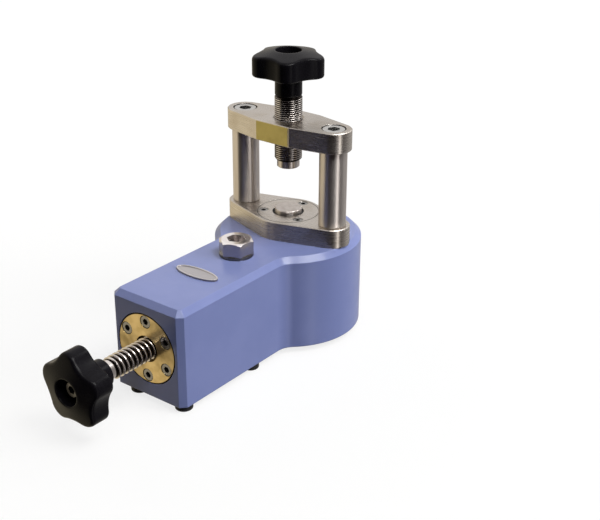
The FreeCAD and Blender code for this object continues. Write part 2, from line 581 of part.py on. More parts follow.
def draw_star(sketch, lobe_angle):
    """A smooth star outline: round lobe tips joined by round valleys, all tangent to each other."""
    count = int(value("dims.knob_lobe_count"))
    half_step = math.pi / count
    tip_radius = value("dims.knob_tip_radius")
    tip_distance = value("dims.knob_radius") - tip_radius
    valley_depth = value("dims.knob_valley_depth")
    # valley radius for which neighbouring arcs just touch
    gain = 2 * (valley_depth - tip_distance * math.cos(half_step) - tip_radius)
    rest = tip_radius ** 2 - tip_distance ** 2 - valley_depth ** 2
    rest += 2 * tip_distance * valley_depth * math.cos(half_step)
    valley_radius = rest / gain
    valley_distance = valley_depth + valley_radius
    reach = tip_radius / (tip_radius + valley_radius)

    def polar(distance, angle):
        return FreeCAD.Vector(distance * math.cos(angle), distance * math.sin(angle), 0)

    for lobe in range(count):
        angle = math.radians(lobe_angle) + 2 * half_step * lobe
        tip = polar(tip_distance, angle)
        before = polar(valley_distance, angle - half_step)
        after = polar(valley_distance, angle + half_step)
        next_tip = polar(tip_distance, angle + 2 * half_step)
        first = tip + (before - tip) * reach
        last = tip + (after - tip) * reach
        joining = next_tip + (after - next_tip) * reach
        sketch.addGeometry(Part.Arc(first, tip + polar(tip_radius, angle), last))
        sketch.addGeometry(Part.Arc(last, polar(valley_depth, angle + half_step), joining))
    for number in range(2 * count):
        sketch.addConstraint(Sketcher.Constraint("Block", number))


def is_upright(edge):
    first, last = edge.Vertexes[0].Point, edge.Vertexes[-1].Point
    return math.hypot(first.x - last.x, first.y - last.y) < 0.01 and abs(first.z - last.z) > 1


def build_knob(label, x, y, z, direction, lobe_angle):
    """A five-lobed star knob. Its local origin is the hub's open end, and local +Z points outwards."""
    knob = new_body(label, x, y, z, direction)
    turn(knob, "hub", [("dims.knob_hub_radius", "dims.knob_hub_length + 1")])
    outline = new_sketch(knob, "star_outline", z="dims.knob_hub_length")
    draw_star(outline, lobe_angle)
    pad(knob, outline, "star", "dims.knob_length - dims.knob_hub_length")
    # the crown slopes up from the rim to the recess
    slope = new_sketch(knob, "crown_slope", "XZ_Plane")
    draw_polygon(slope, [("dims.knob_crown_radius", "dims.knob_length"),
                         ("dims.knob_radius + 1", "dims.knob_hub_length + dims.knob_rim_height"),
                         ("dims.knob_radius + 1", "dims.knob_length + 1"),
                         ("dims.knob_crown_radius", "dims.knob_length + 1")])
    base = spin(knob, "crown", slope, cut=True)
    doc.recompute()
    low = value("dims.knob_hub_length") - 0.01
    wall = (value("dims.knob_hub_radius") + value("dims.knob_valley_depth")) / 2
    rims = edges_where(base.Shape, lambda p: p.z > low and math.hypot(p.x, p.y) > wall)
    rims = [name for name in rims if not is_upright(base.Shape.getElement(name))]
    dress(knob, "Fillet", "rounded_rims", base, rims, "dims.knob_rim_fillet")
    turn(knob, "bush_bore", [("dims.knob_bush_radius", KNOB_BUSH_LENGTH),
                             ("dims.knob_recess_radius", "dims.knob_recess_depth")], cut=True)


def build_knob_bush(label, x, y, z, direction):
    bush = new_body(label, x, y, z, direction)
    turn(bush, "bush", [("dims.knob_bush_radius", KNOB_BUSH_LENGTH)])
    turn(bush, "bore", [("dims.knob_spigot_radius", KNOB_BUSH_LENGTH)], cut=True)


def build_knob_washer(label, x, y, z, direction):
    washer = new_body(label, x, y, z, direction)
    turn(washer, "washer", [("dims.knob_washer_radius", "dims.knob_washer_thickness")])
    turn(washer, "hole", [("dims.knob_washer_hole", "dims.knob_washer_thickness")], cut=True)


def build_top_knob():
    """The knob on the lead screw, its moulded-in bush, and the washer and screw that hold it."""
    seat = LEAD_TOP + " + " + KNOB_BUSH_LENGTH
    build_knob("top_knob", "0", "0", LEAD_TOP, UPWARD, TOP_LOBE_ANGLE)
    build_knob_bush("top_knob_bush", "0", "0", LEAD_TOP, UPWARD)
    build_knob_washer("top_knob_washer", "0", "0", seat, UPWARD)
    cap_screw("top_knob_screw", "M6", "dims.knob_screw_length", z=seat + " + dims.knob_washer_thickness")


def build_front_knob():
    """The same knob on the drive screw."""
    seat = DRIVE_TIP + " - " + KNOB_BUSH_LENGTH
    level = "dims.drive_height"
    build_knob("front_knob", "0", DRIVE_TIP, level, FRONT_DIRECTION, FRONT_LOBE_ANGLE)
    build_knob_bush("front_knob_bush", "0", DRIVE_TIP, level, FRONT_DIRECTION)
    build_knob_washer("front_knob_washer", "0", seat, level, FRONT_DIRECTION)
    cap_screw("front_knob_screw", "M6", "dims.knob_screw_length", y=seat + " - dims.knob_washer_thickness",
              z=level, direction=FRONT_DIRECTION)


# ---- lead screw and pad --------------------------------------------------------------------------

def build_lead_screw():
    body = new_body("lead_screw", z="dims.lead_screw_bottom")
    base = turn(body, "screw", [("dims.lead_screw_radius", "dims.lead_screw_length"),
                                ("dims.knob_spigot_radius", "dims.knob_spigot_length")])
    doc.recompute()
    end = edges_where(base.Shape, lambda p: p.z < 0.01)
    dress(body, "Chamfer", "lead_in", base, end, "dims.lead_in")
    turn(body, "pad_socket", [("dims.pad_stem_radius + dims.running_gap",
                               "dims.pad_stem_length + dims.pad_socket_clearance")], cut=True)
    turn(body, "knob_screw_hole", [(thread_radius("M6"), "dims.knob_thread_depth")],
         y="dims.lead_screw_length + dims.knob_spigot_length - dims.knob_thread_depth", cut=True)
    turn(body, "grub_hole", [("dims.grub_radius", "dims.lead_screw_radius")], z="dims.grub_height",
         cut=True, role="XY_Plane")


def build_pad_grub_screw():
    """The headless screw whose tip keeps the pad's stem in the lead screw."""
    grub = new_body("pad_grub_screw", y="dims.grub_inner", z="dims.lead_screw_bottom + dims.grub_height",
                    direction=INWARD_DIRECTION)
    turn(grub, "grub", [("dims.grub_radius", "dims.grub_length")])
    doc.recompute()
    hexagon_socket(grub, "grub_socket", "dims.grub_flats", "dims.grub_radius", "dims.grub_length")


def build_pressure_pad():
    body = new_body("pressure_pad", z="dims.lead_screw_bottom - dims.pad_thickness")
    above_groove = "dims.pad_stem_length - dims.pad_groove_start - dims.pad_groove_width"
    base = turn(body, "pad", [("dims.pad_radius", "dims.pad_thickness"),
                              ("dims.pad_stem_radius", "dims.pad_groove_start"),
                              ("dims.pad_stem_radius - dims.pad_groove_depth", "dims.pad_groove_width"),
                              ("dims.pad_stem_radius", above_groove)])
    doc.recompute()
    rim = edges_where(base.Shape, lambda p: p.z < 0.01)
    dress(body, "Chamfer", "pad_edge", base, rim, "dims.plate_edge_break")


# ---- drive: brass nut, drive screw, ball, plunger and gland ----------------------------------------

def build_drive_nut():
    """The brass nut with its screwed flange, sunk flush into the block's front face."""
    nut = new_body("drive_nut_flange", y="-dims.block_front", z="dims.drive_height",
                   direction=INWARD_DIRECTION)
    base = turn(nut, "flange", [("dims.flange_radius", "dims.flange_thickness"),
                                ("dims.nut_boss_radius", "dims.nut_length - dims.flange_thickness")])
    doc.recompute()
    rim = edges_where(base.Shape, lambda p: p.z < 0.01)
    dress(nut, "Chamfer", "edge_break", base, rim, "dims.flange_edge_break")
    turn(nut, "screw_bore", [
        ("dims.nut_mouth_radius", "dims.nut_mouth_depth"),
        ("dims.drive_screw_radius + dims.running_gap", "dims.nut_length - dims.nut_mouth_depth"),
    ], cut=True)
    screws = []
    for number, angle in enumerate(FLANGE_SCREW_ANGLES):
        across, up = on_circle("dims.flange_screw_circle", angle)
        turn(nut, "screw_seat_%d" % number,
             [("dims.flange_screw_seat_radius", "dims.flange_screw_seat_depth"),
              ("dims.flange_screw_clearance", "dims.flange_thickness - dims.flange_screw_seat_depth")],
             x=across, z="-" + up, cut=True)
        screws.append(cap_screw("flange_screw_%d" % number, "M5", "dims.flange_screw_length", across,
                                "-dims.block_front + dims.flange_screw_seat_depth",
                                "dims.drive_height + " + up, FRONT_DIRECTION))
    group("flange_screws", screws)


def build_drive_spindle():
    screw = new_body("drive_spindle", y=DRIVE_TIP, z="dims.drive_height", direction=INWARD_DIRECTION)
    turn(screw, "screw", [("dims.drive_screw_radius", "dims.drive_screw_length"),
                          ("dims.drive_nose_radius", "dims.drive_nose_length")])
    turn(screw, "knob_spigot", [("dims.knob_spigot_radius", "dims.knob_spigot_length")],
         y="-dims.knob_spigot_length")
    turn(screw, "ball_seat", [("dims.ball_radius + dims.ball_clearance", BALL_SEAT_DEPTH)],
         y="dims.drive_screw_length + dims.drive_nose_length - " + BALL_SEAT_DEPTH, cut=True)
    turn(screw, "knob_screw_hole", [(thread_radius("M6"), "dims.knob_thread_depth")],
         y="-dims.knob_spigot_length", cut=True)
    ball = doc.addObject("Part::Sphere", "thrust_ball")
    ball.Label = "thrust_ball"
    ball.setExpression("Radius", "dims.ball_radius")
    place(ball, y=DRIVE_END + " + dims.ball_gap / 2", z="dims.drive_height")
    sub_parts.append(ball)


def build_plunger():
    """The plunger, and the gland bush and seal that it slides through into the oil chamber."""
    plunger = new_body("plunger", y=HEAD_START, z="dims.drive_height", direction=INWARD_DIRECTION)
    turn(plunger, "plunger", [("dims.plunger_head_radius", "dims.plunger_head_length"),
                              ("dims.plunger_radius", "dims.plunger_length")])
    turn(plunger, "ball_seat", [("dims.ball_radius + dims.ball_clearance", BALL_SEAT_DEPTH)], cut=True)
    sliding_fit = "dims.plunger_radius + dims.running_gap"
    seal_start = "dims.gland_length - dims.gland_seal_length - dims.gland_lip"
    gland = new_body("plunger_gland", y=GLAND_START, z="dims.drive_height", direction=INWARD_DIRECTION)
    turn(gland, "bush", [("dims.gland_radius", "dims.gland_length")])
    turn(gland, "bore", [(sliding_fit, seal_start), ("dims.gland_seal_radius", "dims.gland_seal_length"),
                         (sliding_fit, "dims.gland_lip")], cut=True)
    seal = new_body("plunger_seal", y=GLAND_START + " + " + seal_start + " + dims.end_gap",
                    z="dims.drive_height", direction=INWARD_DIRECTION)
    turn(seal, "ring", [("dims.gland_seal_radius", "dims.gland_seal_length - 2 * dims.end_gap")])
    turn(seal, "hole", [(sliding_fit, "dims.gland_seal_length - 2 * dims.end_gap")], cut=True)


# ---- plug, badge and feet -------------------------------------------------------------------------

def build_plug():
    body = new_body("gauge_port_plug", y="-dims.plug_forward", z=BODY_TOP + " + dims.plug_washer_thickness")
    body.Placement.Rotation = FreeCAD.Rotation(FreeCAD.Vector(0, 0, 1), PLUG_TURN)
    head = body.newObject("PartDesign::AdditivePrism", "head")
    head.Polygon = 6
    head.setExpression("Circumradius", "dims.plug_flats / sqrt(3)")
    head.setExpression("Height", "dims.plug_head_height")
    head.AttachmentSupport = (origin_feature(body, "XY_Plane"), [""])
    head.MapMode = "FlatFace"
    doc.recompute()
    # the turned bevel that rounds off the hexagon's corners
    bevel = new_sketch(body, "bevel_profile", "XZ_Plane")
    inside = "dims.plug_flats / 2 - dims.plug_bevel_inset"
    draw_polygon(bevel, [(inside, "dims.plug_head_height"),
                         ("dims.plug_flats", "dims.plug_head_height - %s * (dims.plug_flats - (%s))"
                          % (PLUG_BEVEL_SLOPE, inside)),
                         ("dims.plug_flats", "dims.plug_head_height")])
    spin(body, "bevel", bevel, cut=True)
    shank = "(dims.plug_shank_length + dims.plug_washer_thickness)"
    turn(body, "shank", [("dims.plug_shank_radius", shank)], y="-" + shank)
    doc.recompute()
    hexagon_socket(body, "socket", "dims.plug_socket_flats", "dims.plug_socket_depth",
                   "dims.plug_head_height")
    washer = new_body("plug_seal_washer", y="-dims.plug_forward", z=BODY_TOP)
    turn(washer, "washer", [("dims.plug_washer_radius", "dims.plug_washer_thickness")])
    turn(washer, "hole", [("dims.plug_shank_radius", "dims.plug_washer_thickness")], cut=True)


def draw_ellipse(sketch, half_length, half_width):
    long, short = value(half_length), value(half_width)
    sketch.addGeometry(Part.Ellipse(FreeCAD.Vector(), long, short))
    sketch.exposeInternalGeometry(0)
    sketch.addConstraint(Sketcher.Constraint("Coincident", 0, 3, -1, 1))
    sketch.addConstraint(Sketcher.Constraint("Horizontal", 1))
    bind(sketch, Sketcher.Constraint("Distance", 1, 2 * long), "2 * " + half_length)
    bind(sketch, Sketcher.Constraint("Distance", 2, 2 * short), "2 * " + half_width)


def build_badge():
    """An oval plate with a raised border and a plain face."""
    body = new_body("badge", y="-dims.badge_forward", z=BODY_TOP)
    outline = new_sketch(body, "badge_outline")
    draw_ellipse(outline, "dims.badge_half_length", "dims.badge_half_width")
    pad(body, outline, "badge_plate", "dims.badge_thickness")
    inner = new_sketch(body, "field_outline", z="dims.badge_thickness")
    draw_ellipse(inner, "(dims.badge_half_length - dims.badge_border)",
                 "(dims.badge_half_width - dims.badge_border)")
    doc.recompute()
    pocket(body, inner, "field", "dims.badge_field_depth")


def build_feet():
    feet, screws = [], []
    for number, (x, y) in enumerate(FOOT_PLACES):
        foot = new_body("foot_%d" % number, str(x), str(y))
        base = turn(foot, "foot", [("dims.foot_radius", "dims.foot_height")])
        doc.recompute()
        edge = edges_where(base.Shape, lambda p: p.z < 0.01)
        dress(foot, "Fillet", "rounded_edge", base, edge, "dims.foot_edge_radius")
        turn(foot, "screw_hole", [("dims.foot_recess_radius", "dims.foot_recess_depth"),
                                  (thread_radius("M4"), "dims.foot_height - dims.foot_recess_depth")],
             cut=True)
        feet.append(foot)
        screws.append(cap_screw("foot_screw_%d" % number, "M4 low head", "dims.foot_screw_length",
                                str(x), str(y), "dims.foot_recess_depth", DOWNWARD))
    group("rubber_feet", feet)
    group("foot_screws", screws)


def check_and_write():
    doc.recompute()
    for thing in doc.Objects:
        faults = [state for state in thing.State if state in ("Invalid", "Error")]
        if faults:
            raise RuntimeError("%s: %s" % (thing.Label, faults))
    os.makedirs("parts", exist_ok=True)
    for thing in sub_parts:
        if thing.Shape.isNull() or not thing.Shape.isValid() or not thing.Shape.Solids:
            raise RuntimeError(thing.Label + " has no valid solid")
    for thing in sub_parts:
        thing.Shape.exportStep("parts/%s.step" % thing.Label)


build_block()
build_base_plate()
build_guide_ring()
build_pillar("pillar_left", "-")
build_pillar("pillar_right", "")
build_top_plate()
build_label()
build_ram()
build_spring()
build_lead_screw()
build_pad_grub_screw()
build_pressure_pad()
build_top_knob()
build_drive_nut()
build_drive_spindle()
build_plunger()
build_front_knob()
build_plug()
build_badge()
build_feet()
check_and_write()
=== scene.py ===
import bpy
import bmesh
import json
import math
from mathutils import Matrix, Vector


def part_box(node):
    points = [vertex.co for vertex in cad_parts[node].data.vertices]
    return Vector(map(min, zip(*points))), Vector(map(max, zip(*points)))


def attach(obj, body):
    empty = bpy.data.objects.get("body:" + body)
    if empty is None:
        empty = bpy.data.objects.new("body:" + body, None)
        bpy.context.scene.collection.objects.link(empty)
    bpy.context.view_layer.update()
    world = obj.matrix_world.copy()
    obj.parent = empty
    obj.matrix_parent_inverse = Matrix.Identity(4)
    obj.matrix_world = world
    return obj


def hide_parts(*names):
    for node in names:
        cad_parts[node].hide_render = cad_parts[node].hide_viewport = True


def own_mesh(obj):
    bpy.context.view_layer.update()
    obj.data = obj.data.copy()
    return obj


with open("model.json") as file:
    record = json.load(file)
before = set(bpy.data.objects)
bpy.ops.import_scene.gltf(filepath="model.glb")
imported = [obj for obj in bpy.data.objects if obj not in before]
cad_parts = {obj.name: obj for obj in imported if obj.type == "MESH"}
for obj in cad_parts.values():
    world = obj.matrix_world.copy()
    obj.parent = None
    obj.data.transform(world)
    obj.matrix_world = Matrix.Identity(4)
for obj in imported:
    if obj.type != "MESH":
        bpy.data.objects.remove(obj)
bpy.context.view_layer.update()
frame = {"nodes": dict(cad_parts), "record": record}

# The looks of a hand-screw hydraulic tablet press. Lengths in this script are metres.
MM = 0.001

# ---- where things are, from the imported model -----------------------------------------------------

SPINDLE_LOW, SPINDLE_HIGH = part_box("drive_spindle")
LEAD_LOW, LEAD_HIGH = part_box("lead_screw")
_, FRONT_KNOB_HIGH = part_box("front_knob")
TOP_KNOB_LOW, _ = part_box("top_knob")
_, BADGE_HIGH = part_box("badge")
FLANGE_LOW, FLANGE_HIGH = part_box("drive_nut_flange")
RING_LOW, RING_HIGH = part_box("ram_guide_ring")
DRIVE_HEIGHT = (SPINDLE_LOW.z + SPINDLE_HIGH.z) / 2
RAM_AXIS_Y = (LEAD_LOW.y + LEAD_HIGH.y) / 2
LEAD_CENTRE = (0, RAM_AXIS_Y, 0)
SPINDLE_CENTRE = (0, 0, DRIVE_HEIGHT)
FLANGE_RADIUS = (FLANGE_HIGH.x - FLANGE_LOW.x) / 2
RING_RADIUS = (RING_HIGH.x - RING_LOW.x) / 2

# ---- the two screws' threads ---------------------------------------------------------------------

LEAD_RADIUS = (LEAD_HIGH.x - LEAD_LOW.x) / 2
LEAD_ROOT = LEAD_RADIUS - 0.75 * MM
SPINDLE_RADIUS = (SPINDLE_HIGH.x - SPINDLE_LOW.x) / 2
SPINDLE_ROOT = SPINDLE_RADIUS - 2.1 * MM
SPIGOT_LENGTH = 18 * MM
COLLAR_LENGTH = 4.6 * MM
COLLAR_END = SPINDLE_LOW.y + SPIGOT_LENGTH + COLLAR_LENGTH


# ---- node helpers --------------------------------------------------------------------------------

def feed(tree, socket, source):
    """Links an output to a socket, or sets the socket to a plain value."""
    if isinstance(source, bpy.types.NodeSocket):
        tree.links.new(source, socket)
    else:
        socket.default_value = source


def node(tree, kind, inputs=None, **settings):
    made = tree.nodes.new(kind)
    for name, setting in settings.items():
        setattr(made, name, setting)
    for name, source in (inputs or {}).items():
        feed(tree, made.inputs[name], source)
    return made


def calc(tree, operation, first, second=0.0):
    return node(tree, "ShaderNodeMath", {0: first, 1: second}, operation=operation).outputs[0]


def rescale(tree, source, low, high, to_low=0.0, to_high=1.0, course="SMOOTHSTEP"):
    """Maps low..high to to_low..to_high, easing in and out unless the course is LINEAR."""
    inputs = {"Value": source, "From Min": low, "From Max": high, "To Min": to_low, "To Max": to_high}
    return node(tree, "ShaderNodeMapRange", inputs, interpolation_type=course).outputs[0]


def mix_colours(tree, share, first, second):
    made = node(tree, "ShaderNodeMix", data_type="RGBA")
    feed(tree, made.inputs[0], share)
    feed(tree, made.inputs[6], first)
    feed(tree, made.inputs[7], second)
    return made.outputs[2]


def local_place(tree):
    return node(tree, "ShaderNodeTexCoord").outputs["Object"]


def noise(tree, scale, stretch=(1, 1, 1), detail=3.0, seed=0.0):
    """Soft noise in the piece's own space; scale is in cycles per metre, stretched along the axes."""
    place = node(tree, "ShaderNodeMapping", {"Vector": local_place(tree), "Scale": stretch,
                                             "Location": (seed, seed, seed)}).outputs[0]
    made = node(tree, "ShaderNodeTexNoise", {"Vector": place, "Scale": scale, "Detail": detail})
    return made.outputs["Fac"]


def distance_from(tree, centre, spread):
    """The distance from a centre, measured only along the axes that spread lets through."""
    away = node(tree, "ShaderNodeVectorMath", {0: local_place(tree), 1: centre}, operation="SUBTRACT")
    flat = node(tree, "ShaderNodeVectorMath", {0: away.outputs[0], 1: spread}, operation="MULTIPLY")
    return node(tree, "ShaderNodeVectorMath", {0: flat.outputs[0]}, operation="LENGTH").outputs["Value"]


def rings(tree, radius, scale):
    """Noise that only varies with the distance from a centre, as turning marks do."""
    made = node(tree, "ShaderNodeTexNoise", {"W": radius, "Scale": scale, "Detail": 2.0},
                noise_dimensions="1D")
    return made.outputs["Fac"]


def rounded_normal(tree, radius):
    """The normal of an edge that is rounded over by a small radius."""
    return node(tree, "ShaderNodeBevel", {"Radius": radius}, samples=6).outputs[0]


def edge_share(tree, normal):
    """0 on flat ground and near 1 on a sharp outer or inner edge."""
    flat = node(tree, "ShaderNodeNewGeometry").outputs["Normal"]
    agreement = node(tree, "ShaderNodeVectorMath", {0: flat, 1: normal}, operation="DOT_PRODUCT")
    return rescale(tree, agreement.outputs["Value"], 1.0, 0.85)


def bump(tree, height, strength, depth, normal):
    inputs = {"Height": height, "Strength": strength, "Distance": depth, "Normal": normal}
    return node(tree, "ShaderNodeBump", inputs).outputs[0]


def scaled(colour, factor):
    """A colour made darker or brighter by a factor."""
    return [level * factor for level in colour[:3]] + [1]


def shade(name, build):
    """A material whose Principled inputs are given by build(tree)."""
    material = bpy.data.materials.new(name)
    material.use_nodes = True
    tree = material.node_tree
    surface = tree.nodes["Principled BSDF"]
    for socket, source in build(tree).items():
        feed(tree, surface.inputs[socket], source)
    return material


# ---- materials -----------------------------------------------------------------------------------

def paint(tree):
    """Satin lavender-blue enamel with a faint orange peel, thinner and paler along the edges. Mirrored
    in the steel it is drawn deeper than the camera sees it, so that the steel stays dark beside it."""
    normal = rounded_normal(tree, 0.7 * MM)
    cloud = noise(tree, 28, detail=4)
    colour = mix_colours(tree, rescale(tree, cloud, 0.35, 0.65),
                         (0.195, 0.235, 0.485, 1), (0.210, 0.250, 0.505, 1))
    worn = calc(tree, "MULTIPLY", edge_share(tree, normal), 0.45)
    colour = mix_colours(tree, worn, colour, (0.30, 0.34, 0.62, 1))
    mirrored = node(tree, "ShaderNodeLightPath").outputs["Is Glossy Ray"]
    deepened = calc(tree, "MULTIPLY", mirrored, 0.6)
    colour = mix_colours(tree, deepened, colour, (0.02, 0.015, 0.02, 1))
    peel = bump(tree, noise(tree, 900), 0.10, 0.10 * MM, normal)
    grain = bump(tree, noise(tree, 4200, seed=3), 0.06, 0.05 * MM, peel)
    rough = rescale(tree, noise(tree, 140, seed=7), 0.3, 0.7, 0.30, 0.38)
    return {"Base Color": colour, "Roughness": rough, "Normal": grain, "Specular IOR Level": 0.3,
            "Coat Weight": 0.3, "Coat Roughness": 0.12, "Coat Normal": peel}


def facing_up(tree):
    """1 on flat tops and undersides, 0 on upright sides."""
    normal = node(tree, "ShaderNodeNewGeometry").outputs["Normal"]
    upright = node(tree, "ShaderNodeSeparateXYZ", {0: normal}).outputs["Z"]
    return calc(tree, "GREATER_THAN", calc(tree, "ABSOLUTE", upright), 0.7)


def across_marks(tree, is_flat):
    """The direction across the machining marks: up the sides, and along Y on flat tops."""
    upright = calc(tree, "SUBTRACT", 1.0, is_flat)
    return node(tree, "ShaderNodeCombineXYZ", {"Y": is_flat, "Z": upright}).outputs[0]


def brushed(colour, low, high, seam=None):
    """Plate steel with brush lines along X on its flat faces and round its rim; the flat faces are painted
    darker than the rim as shade. A seam is a dark joint line round the ram's axis, given as its radius."""
    def build(tree):
        normal = rounded_normal(tree, 0.45 * MM)
        is_flat = facing_up(tree)
        flat_lines = noise(tree, 1, (60, 3200, 60), detail=5)
        rim_lines = noise(tree, 1, (60, 60, 3600), detail=5, seed=2)
        lines = mix_colours(tree, is_flat, rim_lines, flat_lines)
        blotches = noise(tree, 70, detail=4, seed=5)
        # painted shade: the flat tops and undersides are coloured 0.84 as bright as the rim
        tone = mix_colours(tree, is_flat, colour, scaled(colour, 0.84))
        dull = mix_colours(tree, rescale(tree, lines, 0.35, 0.65), scaled(colour, 0.78), tone)
        tint = mix_colours(tree, rescale(tree, blotches, 0.4, 0.7, 0, 0.35), dull, (0.45, 0.38, 0.30, 1))
        worn = calc(tree, "MULTIPLY", edge_share(tree, normal), 0.6)
        bright = mix_colours(tree, worn, tint, (0.9, 0.88, 0.85, 1))
        if seam:
            radius = distance_from(tree, LEAD_CENTRE, (1, 1, 0))
            joint = rescale(tree, radius, seam - 0.75 * MM, seam - 0.45 * MM)
            bright = mix_colours(tree, joint, bright, (0.03, 0.025, 0.02, 1))
        rough = calc(tree, "ADD", rescale(tree, lines, 0.3, 0.7, low, high),
                     calc(tree, "MULTIPLY", blotches, 0.08))
        return {"Base Color": bright, "Metallic": 1.0, "Roughness": rough, "Anisotropic": 0.9,
                "Tangent": across_marks(tree, is_flat), "Normal": bump(tree, lines, 0.15, 0.02 * MM, normal)}
    return build


def ground_round(colour, rough_low, rough_high):
    """Round bar, ground and polished, with fine lines round its upright axis."""
    def build(tree):
        normal = rounded_normal(tree, 0.3 * MM)
        lines = noise(tree, 1, (25, 25, 4000), detail=4)
        smears = noise(tree, 1, (260, 260, 22), detail=3, seed=4)
        tone = mix_colours(tree, rescale(tree, smears, 0.35, 0.75, 0, 0.4), colour, (0.42, 0.37, 0.33, 1))
        rough = calc(tree, "ADD", rescale(tree, lines, 0.3, 0.7, rough_low, rough_high),
                     calc(tree, "MULTIPLY", smears, 0.06))
        return {"Base Color": tone, "Metallic": 1.0, "Roughness": rough, "Anisotropic": 0.98,
                "Tangent": across_marks(tree, facing_up(tree)),
                "Normal": bump(tree, lines, 0.10, 0.02 * MM, normal)}
    return build


def screw_thread(centre, spread, root, crest, polished, collar_end=None):
    """A cut thread: bright where its height reaches the polished shares, and elsewhere near black with oil
    and painted shade, which stands for the shade in its roots and flanks.
    In front of collar_end it is plain."""
    def build(tree):
        height = rescale(tree, distance_from(tree, centre, spread), root, crest)
        if collar_end is not None:
            along = node(tree, "ShaderNodeSeparateXYZ", {0: local_place(tree)}).outputs["Y"]
            height = calc(tree, "MAXIMUM", height, calc(tree, "LESS_THAN", along, collar_end))
        grime = noise(tree, 380, detail=4, seed=1)
        # painted shade: the roots and flanks are coloured near black, mottled as with oil
        root_oil_and_shade = mix_colours(tree, grime, (0.012, 0.009, 0.008, 1), (0.05, 0.04, 0.035, 1))
        colour = mix_colours(tree, rescale(tree, height, *polished), root_oil_and_shade, (0.74, 0.69, 0.66, 1))
        rough = calc(tree, "ADD", rescale(tree, height, 0, 1, 0.34, 0.18),
                     calc(tree, "MULTIPLY", grime, 0.08))
        return {"Base Color": colour, "Metallic": 1.0, "Roughness": rough}
    return build


def fastener(colour, rough, cavity):
    """Bright screw steel with painted shade inside its hexagon socket, darkened along its sharp outer and
    inner edges.
    """
    def build(tree):
        normal = rounded_normal(tree, 0.25 * MM)
        # painted shade: ambient occlusion darkens the socket and other recesses to near black
        recess_shade = node(tree, "ShaderNodeAmbientOcclusion", {"Distance": cavity}, samples=6).outputs["AO"]
        wear = noise(tree, 900, detail=4)
        bright = mix_colours(tree, rescale(tree, wear, 0.35, 0.7), colour, scaled(colour, 0.8))
        shaded = mix_colours(tree, rescale(tree, recess_shade, 0.25, 0.75), (0.01, 0.01, 0.01, 1), bright)
        rim = edge_share(tree, rounded_normal(tree, 0.55 * MM))
        shaded = mix_colours(tree, calc(tree, "MULTIPLY", rim, 0.85), shaded, (0.04, 0.035, 0.03, 1))
        return {"Base Color": shaded, "Metallic": 1.0,
                "Roughness": rescale(tree, wear, 0.3, 0.7, rough, rough + 0.12), "Normal": normal}
    return build


def chrome(tree):
    """Bright plating on the hexagon plug, with light finger smears and painted shade where other surfaces
    come close.
    """
    normal = rounded_normal(tree, 0.4 * MM)
    smears = noise(tree, 210, (1, 1, 0.4), detail=4)
    # painted shade: ambient occlusion darkens the plating towards black where other surfaces come close
    recess_shade = node(tree, "ShaderNodeAmbientOcclusion", {"Distance": 7 * MM}, samples=6).outputs["AO"]
    colour = mix_colours(tree, rescale(tree, recess_shade, 0.15, 0.7),
                         (0.06, 0.055, 0.05, 1), (0.88, 0.83, 0.82, 1))
    wave = bump(tree, noise(tree, 320, detail=2, seed=6), 0.12, 0.08 * MM, normal)
    return {"Base Color": colour, "Metallic": 1.0, "Roughness": rescale(tree, smears, 0.35, 0.7, 0.10, 0.22),
            "Anisotropic": 0.7, "Tangent": across_marks(tree, facing_up(tree)), "Normal": wave}


def brass(tree):
    """Satin brass, faced on a lathe, lightly tarnished in patches, with painted shade in its recesses and a
    dark joint line round its rim.
    """
    normal = rounded_normal(tree, 0.3 * MM)
    radius = distance_from(tree, SPINDLE_CENTRE, (1, 0, 1))
    marks = rings(tree, radius, 1800)
    patches = noise(tree, 160, detail=5, seed=8)
    colour = mix_colours(tree, rescale(tree, patches, 0.35, 0.7),
                         (0.74, 0.57, 0.29, 1), (0.62, 0.47, 0.22, 1))
    # painted shade: ambient occlusion darkens the brass in its recesses
    recess_shade = node(tree, "ShaderNodeAmbientOcclusion", {"Distance": 4 * MM}, samples=6).outputs["AO"]
    colour = mix_colours(tree, rescale(tree, recess_shade, 0.2, 0.8), (0.10, 0.07, 0.03, 1), colour)
    joint = rescale(tree, radius, FLANGE_RADIUS - 0.6 * MM, FLANGE_RADIUS - 0.3 * MM)
    colour = mix_colours(tree, joint, colour, (0.03, 0.022, 0.015, 1))
    rough = rescale(tree, patches, 0.3, 0.7, 0.28, 0.38)
    away = node(tree, "ShaderNodeVectorMath", {0: local_place(tree), 1: SPINDLE_CENTRE}, operation="SUBTRACT")
    return {"Base Color": colour, "Metallic": 1.0, "Roughness": rough, "Anisotropic": 0.9,
            "Tangent": away.outputs[0], "Normal": bump(tree, marks, 0.15, 0.02 * MM, normal)}


def bronze(tree):
    marks = noise(tree, 1, (30, 2600, 30), detail=3)
    colour = mix_colours(tree, marks, (0.35, 0.22, 0.10, 1), (0.50, 0.34, 0.17, 1))
    return {"Base Color": colour, "Metallic": 1.0, "Roughness": 0.35,
            "Normal": bump(tree, marks, 0.2, 0.03 * MM, rounded_normal(tree, 0.2 * MM))}


def black_plastic(tree):
    """Moulded thermoset: nearly black, fine-grained, a little polished where hands rub it."""
    grain = noise(tree, 2600, detail=3)
    handling = noise(tree, 90, detail=4, seed=9)
    colour = mix_colours(tree, handling, (0.0035, 0.003, 0.0042, 1), (0.007, 0.0065, 0.0085, 1))
    rough = rescale(tree, handling, 0.3, 0.7, 0.20, 0.30)
    soft = bump(tree, noise(tree, 420, seed=2), 0.05, 0.1 * MM, rounded_normal(tree, 0.5 * MM))
    return {"Base Color": colour, "Roughness": rough, "Specular IOR Level": 0.08,
            "Normal": bump(tree, grain, 0.08, 0.04 * MM, soft)}


